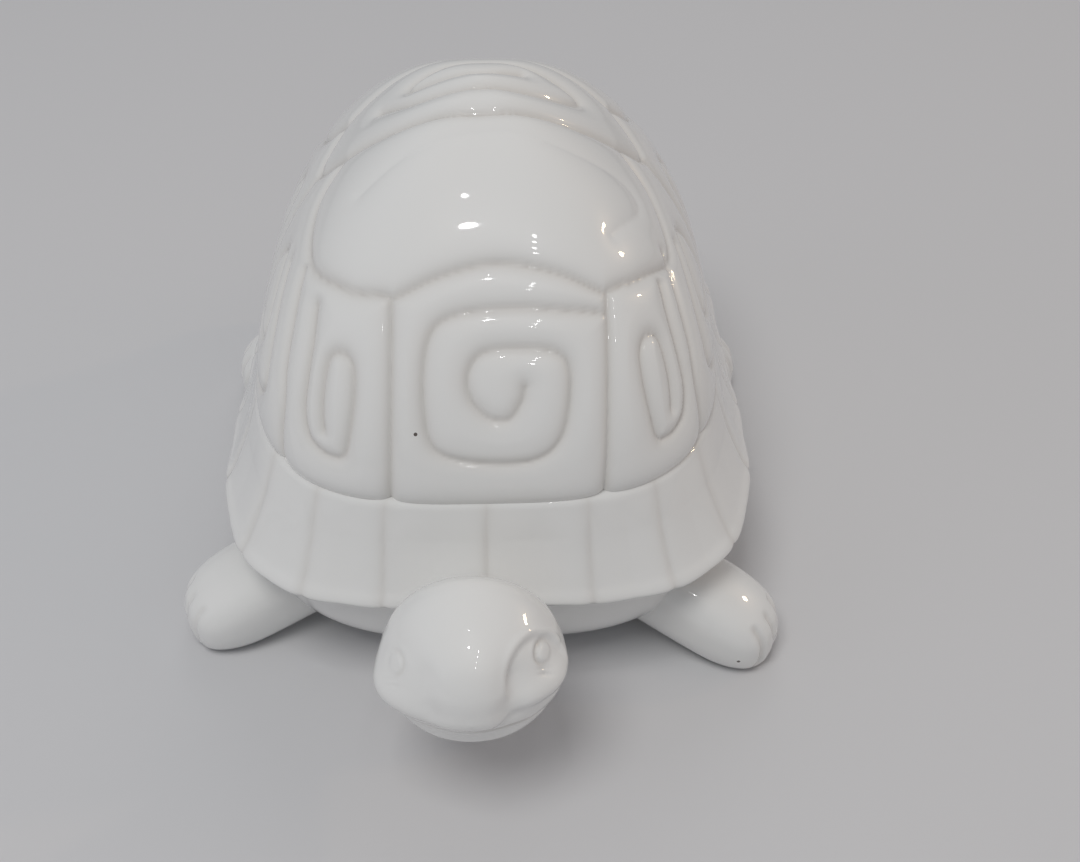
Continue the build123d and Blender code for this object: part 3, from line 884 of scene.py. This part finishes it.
def head_piece():
    """The head with its eyes, cheeks, jaw and mouth worked into the plain form."""
    rows = head_rings()
    push = np.zeros(rows.shape[:2])
    pooling = np.zeros(rows.shape[:2])
    middle, y, z = rows[..., 0] - HEAD_X, rows[..., 1], rows[..., 2]
    for side, face in FACE.items():
        x = side * middle
        points = np.stack([x, y, z], axis=2)
        strength = face["strength"]
        # Recess that holds the eye: sharp towards the brow, open towards the jaw
        away = np.linalg.norm(points - RECESS, axis=2)
        brow = smooth(*BROW_UP, z + BROW_SLOPE * (x - BROW_OUT))
        push -= RECESS_DEPTH * strength * smooth(*face["edge"], away) * brow
        push += face["rim"] * brow * mound(away - RIM_AWAY, RIM_WIDTH) * (x < RIM_OUT)
        # Hollow between the nose and the cheek, down to the jaw
        hollow = mound(along_line(points, eased(HOLLOW, 8)), HOLLOW_WIDTH)
        push -= HOLLOW_DEPTH * strength * hollow
        # Cheek, full down to the corner of the jaw
        cheek = mound(points - (CHEEK_OUT, CHEEK_Y, face["cheek_z"]), CHEEK_WIDTH)
        push += face["cheek"] * cheek.prod(axis=2)
        # Eyeball, its crease, its lid and two folds
        beside = x - EYE[0]
        above = EYE_LEAN[0] * (y - EYE[1]) + EYE_LEAN[1] * (z - EYE[2]) - face["eye_lift"]
        ring = np.hypot(beside / EYE_HALF[0], above / EYE_HALF[1])
        near = strength * (away < EYE_NEAR) * (x > 0)
        ball = np.sqrt(np.clip(1 - ring**2, 0, 1))
        crease = mound(ring - CREASE_RING[0], CREASE_RING[1])
        crease *= 0.1 + 0.9 * smooth(*CREASE_SIDE, beside)
        lid = mound(ring - LID_RING[0], LID_RING[1]) * smooth(*LID_SIDE, above)
        fold = sum(mound(above + under, FOLD_THICK) for under in FOLDS) * mound(beside, FOLD_LONG)
        push += near * (
            BALL_RISE * ball - CREASE_DEPTH * crease + LID_RISE * lid - FOLD_DEPTH * fold
        )
        # Painted shade and pooled glaze darken the crease round the eye
        pooling = np.maximum(pooling, CREASE_SHADE_AND_POOL * near * crease)
    # The nose is a broad tongue down to the muzzle
    nose = np.exp(-((middle / NOSE_HALF) ** 4)) * smooth(*NOSE_ALONG, y) * smooth(*NOSE_UP, z)
    push += NOSE_RISE * nose
    # The upper jaw stands out over the mouth, a little higher on one side
    over_jaw = z - JAW_Z - JAW_LIFT * smooth(*JAW_LIFT_OVER, middle)
    front = smooth(*JAW_FRONT, y)
    push -= JAW_STEP * smooth(*JAW_EDGE, over_jaw) * smooth(*CHIN_UP, z) * front
    push += JAW_RISE * mound(over_jaw - JAW_LIP, JAW_LIP_WIDTH) * front
    # Mouth: a thin line low round the muzzle, fainter on one side
    line = mound(z - MOUTH_Z + MOUTH_SLOPE * (y - MOUTH_Y), MOUTH_WIDTH) * smooth(*MOUTH_ALONG, y)
    line *= 0.35 + 0.65 * smooth(*MOUTH_ACROSS, middle)
    push -= MOUTH_DEPTH * line
    # Painted shade and pooled glaze darken the mouth line
    pooling = np.maximum(pooling, MOUTH_SHADE_AND_POOL * line)
    return skin("turtle_head", rows + skin_normals(rows) * push[..., None], pooling)


# ---------- legs and tail ----------

# Root and toe from the middle of the shell, share of the full width and height, depth of the claws
LEGS = {
    "front_left_leg": ((-27.0, -36.6), (-59.4, -49.0), 0.93, 1.0, 0.35),
    "front_right_leg": ((26.2, -43.4), (54.6, -57.4), 0.84, 1.0, 0.7),
    "rear_left_leg": ((-27.0, 33.0), (-58.7, 24.4), 1.0, 1.1, 0.5),
    "rear_right_leg": ((27.0, 31.0), (57.0, 22.6), 1.0, 1.0, 0.5),
}
# Run from root to toe, half width, height over and under the middle line
LEG_ROWS = [
    (0.0, 9.4, 9.2, 8.6), (0.25, 9.8, 9.2, 9.0), (0.50, 10.2, 8.8, 9.2), (0.68, 10.3, 8.0, 9.0),
    (0.82, 9.6, 6.9, 7.9), (0.92, 7.9, 5.5, 6.4), (0.978, 5.2, 3.8, 4.4), (1.005, 2.0, 1.4, 1.6),
]
LEG_ROOT_Z = 13.5
LEG_TOE_Z = 5.2
LEG_AROUND = 144
LEG_SQUARENESS = 2.5
# The rounded toe leans past its middle line, so the run ends this much short of the reach
TOE_LEAN = 10.9 * 0.12
CLAWS = 4
CLAW_SPACING = 4.3
CLAW_CREASE = 0.75
# Where the creases between the claws set in: ahead on a curved toe, and up
CREASE_AHEAD, TOE_CURVE, CREASE_UP = (-3.0, -1.4), 0.045, (0.6, 2.4)
# Below this height a leg is pressed to this share of its height under it
SOLE_ROUND = 0.8
SOLE_SHARE = 0.35

TAIL_START = np.array([SHELL_X, SHELL_Y + 50.0, 15.5])
TAIL_END = np.array([SHELL_X, SHELL_Y + 70.5, 9.3])
TAIL_AROUND = 64
# Run from root to tip and half width
TAIL_ROWS = [
    (0.0, 7.2), (0.35, 6.0), (0.65, 4.2), (0.86, 2.7), (0.96, 1.6), (0.993, 0.7), (1.0, 0.12),
]


def leg_piece(name, root, toe, broad, high, claw_depth):
    """A stub leg from the shell down to its toe, with creases between the claws."""
    root = np.array([root[0] + SHELL_X, root[1] + SHELL_Y, LEG_ROOT_Z])
    toe = np.array([toe[0] + SHELL_X, toe[1] + SHELL_Y, LEG_TOE_Z])
    flat = (toe - root) * [1, 1, 0]
    flat /= np.linalg.norm(flat)
    across = np.array([flat[1], -flat[0], 0.0])
    toe = toe - flat * TOE_LEAN
    c, s = ring_shape(ring_turn(LEG_AROUND), LEG_SQUARENESS)
    rows = []
    for run, wide, over, under in eased(LEG_ROWS, 24):
        middle = root + (toe - root) * run
        tall = np.where(s > 0, over * (1 + (high - 1) * run), under) * s
        rows.append(middle + np.outer(broad * wide * c, across) + np.outer(tall, [0, 0, 1]))
    rows = np.array(rows)
    push = np.zeros(rows.shape[:2])
    pooling = np.zeros(rows.shape[:2])
    # Short creases between the claws, over the rounded end
    beside = (rows - toe) @ across
    ahead = (rows - toe) @ flat
    reach = smooth(*CREASE_AHEAD, ahead + TOE_CURVE * beside**2)
    reach *= smooth(*CREASE_UP, rows[..., 2])
    for k in range(CLAWS - 1):
        offset = (k - (CLAWS - 2) / 2) * CLAW_SPACING
        crease = claw_depth * reach * mound(beside - offset, CLAW_CREASE)
        push -= crease
        # Painted shade and pooled glaze darken the creases between the claws
        pooling = np.maximum(pooling, CLAW_SHADE_AND_POOL * crease)
    rows += skin_normals(rows) * push[..., None]
    # The sole is wiped flat on the ground, with a small round at its edge
    low = rows[..., 2]
    pressed = np.maximum(0.0, SOLE_ROUND + (low - SOLE_ROUND) * SOLE_SHARE)
    rows[..., 2] = np.where(low < SOLE_ROUND, pressed, low)
    return skin("turtle_" + name, rows, pooling)


def tail_piece():
    """A small pointed tail that slopes down behind the shell."""
    reach = TAIL_END - TAIL_START
    side = np.array([1.0, 0, 0])
    lift = np.cross(side, reach / np.linalg.norm(reach))
    turn = ring_turn(TAIL_AROUND)
    ring = np.outer(np.cos(turn), side) + np.outer(np.sin(turn), lift)
    rows = [TAIL_START + reach * run + wide * ring for run, wide in eased(TAIL_ROWS, 12)]
    return skin("turtle_tail", np.array(rows))


# ---------- the pieces ----------


def own(obj, *nodes):
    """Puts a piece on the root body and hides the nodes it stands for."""
    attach(obj, "root")
    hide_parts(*nodes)


shell = grown("turtle_shell", shell_tree())
skirt = grown("turtle_skirt", skirt_tree())
# The lines have done their work
for obj in list(bpy.data.objects):
    if obj.name.endswith(" lines"):
        bpy.data.objects.remove(obj)
own(shell, "carapace")
own(skirt, "marginal_skirt")
own(head_piece(), "head")
for leg_name, leg_shape in LEGS.items():
    own(leg_piece(leg_name, *leg_shape), leg_name)
own(tail_piece(), "tail")
# The belly pan is the plain solid itself, in the same glaze
belly = frame["nodes"]["plastron"]
belly.data.materials.clear()
belly.data.materials.append(GLAZE)


# ---------- camera, floor and light ----------

# Camera: width of its film, focal length and picture width in pixels, place, and how far it
# looks down and is turned, in degrees
FILM_WIDTH = 36.0
FOCAL_PIXELS, PICTURE_PIXELS = 1400, 1080
CAMERA_PLACE = (6.65, -218.95, 207.2)
CAMERA_DOWN, CAMERA_TURN = 40.55, -1.5

# From here on sizes are in metres
FLOOR_HALF = 6.0
FLOOR_COLOUR = (0.62, 0.62, 0.63, 1)
ROOM_COLOUR = (0.94, 0.96, 1.0, 1)
ROOM_STRENGTH = 0.33
# Where the lamps point: a place in the shell
AIM = Vector((0, 0, 0.06))
# Lamps by name: direction from the shell, distance, size, watts and colour
SOFT_LAMPS = {
    "key": ((-0.24, -0.42, 1.0), 1.1, 0.5, 4.2, (1.0, 0.99, 0.97)),
    "right fill": ((0.9, -0.1, 0.45), 0.9, 0.5, 0.4, (1.0, 0.66, 0.48)),
    "left fill": ((-0.9, -0.3, 0.4), 0.9, 0.5, 0.45, (0.92, 0.90, 1.0)),
    "back": ((0.1, 0.8, 0.7), 1.0, 0.6, 0.9, (1, 1, 1)),
}
MIRRORED_LAMPS = {
    "ceiling lamp": ((-0.037, -0.246, 0.969), 1.2, 0.042, 0.25, (1, 1, 1)),
    "small ceiling lamp": ((-0.049, -0.089, 0.995), 1.2, 0.022, 0.04, (1, 1, 1)),
    "string lamp 0": ((0.17, -0.30, 0.94), 1.2, 0.035, 0.09, (1, 1, 1)),
    "string lamp 1": ((0.155, -0.37, 0.915), 1.2, 0.035, 0.09, (1, 1, 1)),
    "string lamp 2": ((0.134, -0.477, 0.869), 1.2, 0.035, 0.09, (1, 1, 1)),
    "string lamp 3": ((0.11, -0.62, 0.776), 1.2, 0.035, 0.09, (1, 1, 1)),
    "warm lamp": ((0.83, 0.28, 0.47), 1.1, 0.065, 0.5, (1.0, 0.74, 0.48)),
}


def add_camera():
    data = bpy.data.cameras.new("camera")
    data.sensor_width = FILM_WIDTH
    data.lens = FILM_WIDTH * FOCAL_PIXELS / PICTURE_PIXELS
    data.clip_start = 0.01
    data.clip_end = 50.0
    cam = new_object("camera", data)
    cam.location = [c * MM for c in CAMERA_PLACE]
    cam.rotation_euler = Euler((math.radians(90 - CAMERA_DOWN), 0, math.radians(CAMERA_TURN)))
    bpy.context.scene.camera = cam


def add_floor():
    h = FLOOR_HALF
    mesh = bpy.data.meshes.new("floor")
    mesh.from_pydata([(-h, -h, 0), (h, -h, 0), (h, h, 0), (-h, h, 0)], [], [(0, 1, 2, 3)])
    mat = bpy.data.materials.new("floor paint")
    mat.use_nodes = True
    set_inputs(
        mat.node_tree.nodes["Principled BSDF"],
        Base_Color=FLOOR_COLOUR, Roughness=0.9, Specular_IOR_Level=0.15,
    )
    mesh.materials.append(mat)
    obj = new_object("floor", mesh)


def add_lamp(name, way, far, size, watts, colour, mirrored):
    """A round lamp that shines on the shell; a soft one isn't mirrored in the glaze."""
    data = bpy.data.lights.new(name, "AREA")
    data.shape = "DISK"
    data.size = size
    data.energy = watts
    data.color = colour
    lamp = new_object(name, data)
    way = Vector(way).normalized()
    lamp.location = AIM + way * far
    lamp.rotation_euler = (-way).to_track_quat("-Z", "Y").to_euler()
    lamp.visible_glossy = mirrored


def add_light():
    world = bpy.data.worlds.new("room")
    bpy.context.scene.world = world
    world.use_nodes = True
    set_inputs(world.node_tree.nodes["Background"], Color=ROOM_COLOUR, Strength=ROOM_STRENGTH)
    for lamps, mirrored in ((SOFT_LAMPS, False), (MIRRORED_LAMPS, True)):
        for name, lamp in lamps.items():
            add_lamp(name, *lamp, mirrored)


add_camera()
add_floor()
add_light()
bpy.context.scene.view_settings.view_transform = "Standard"
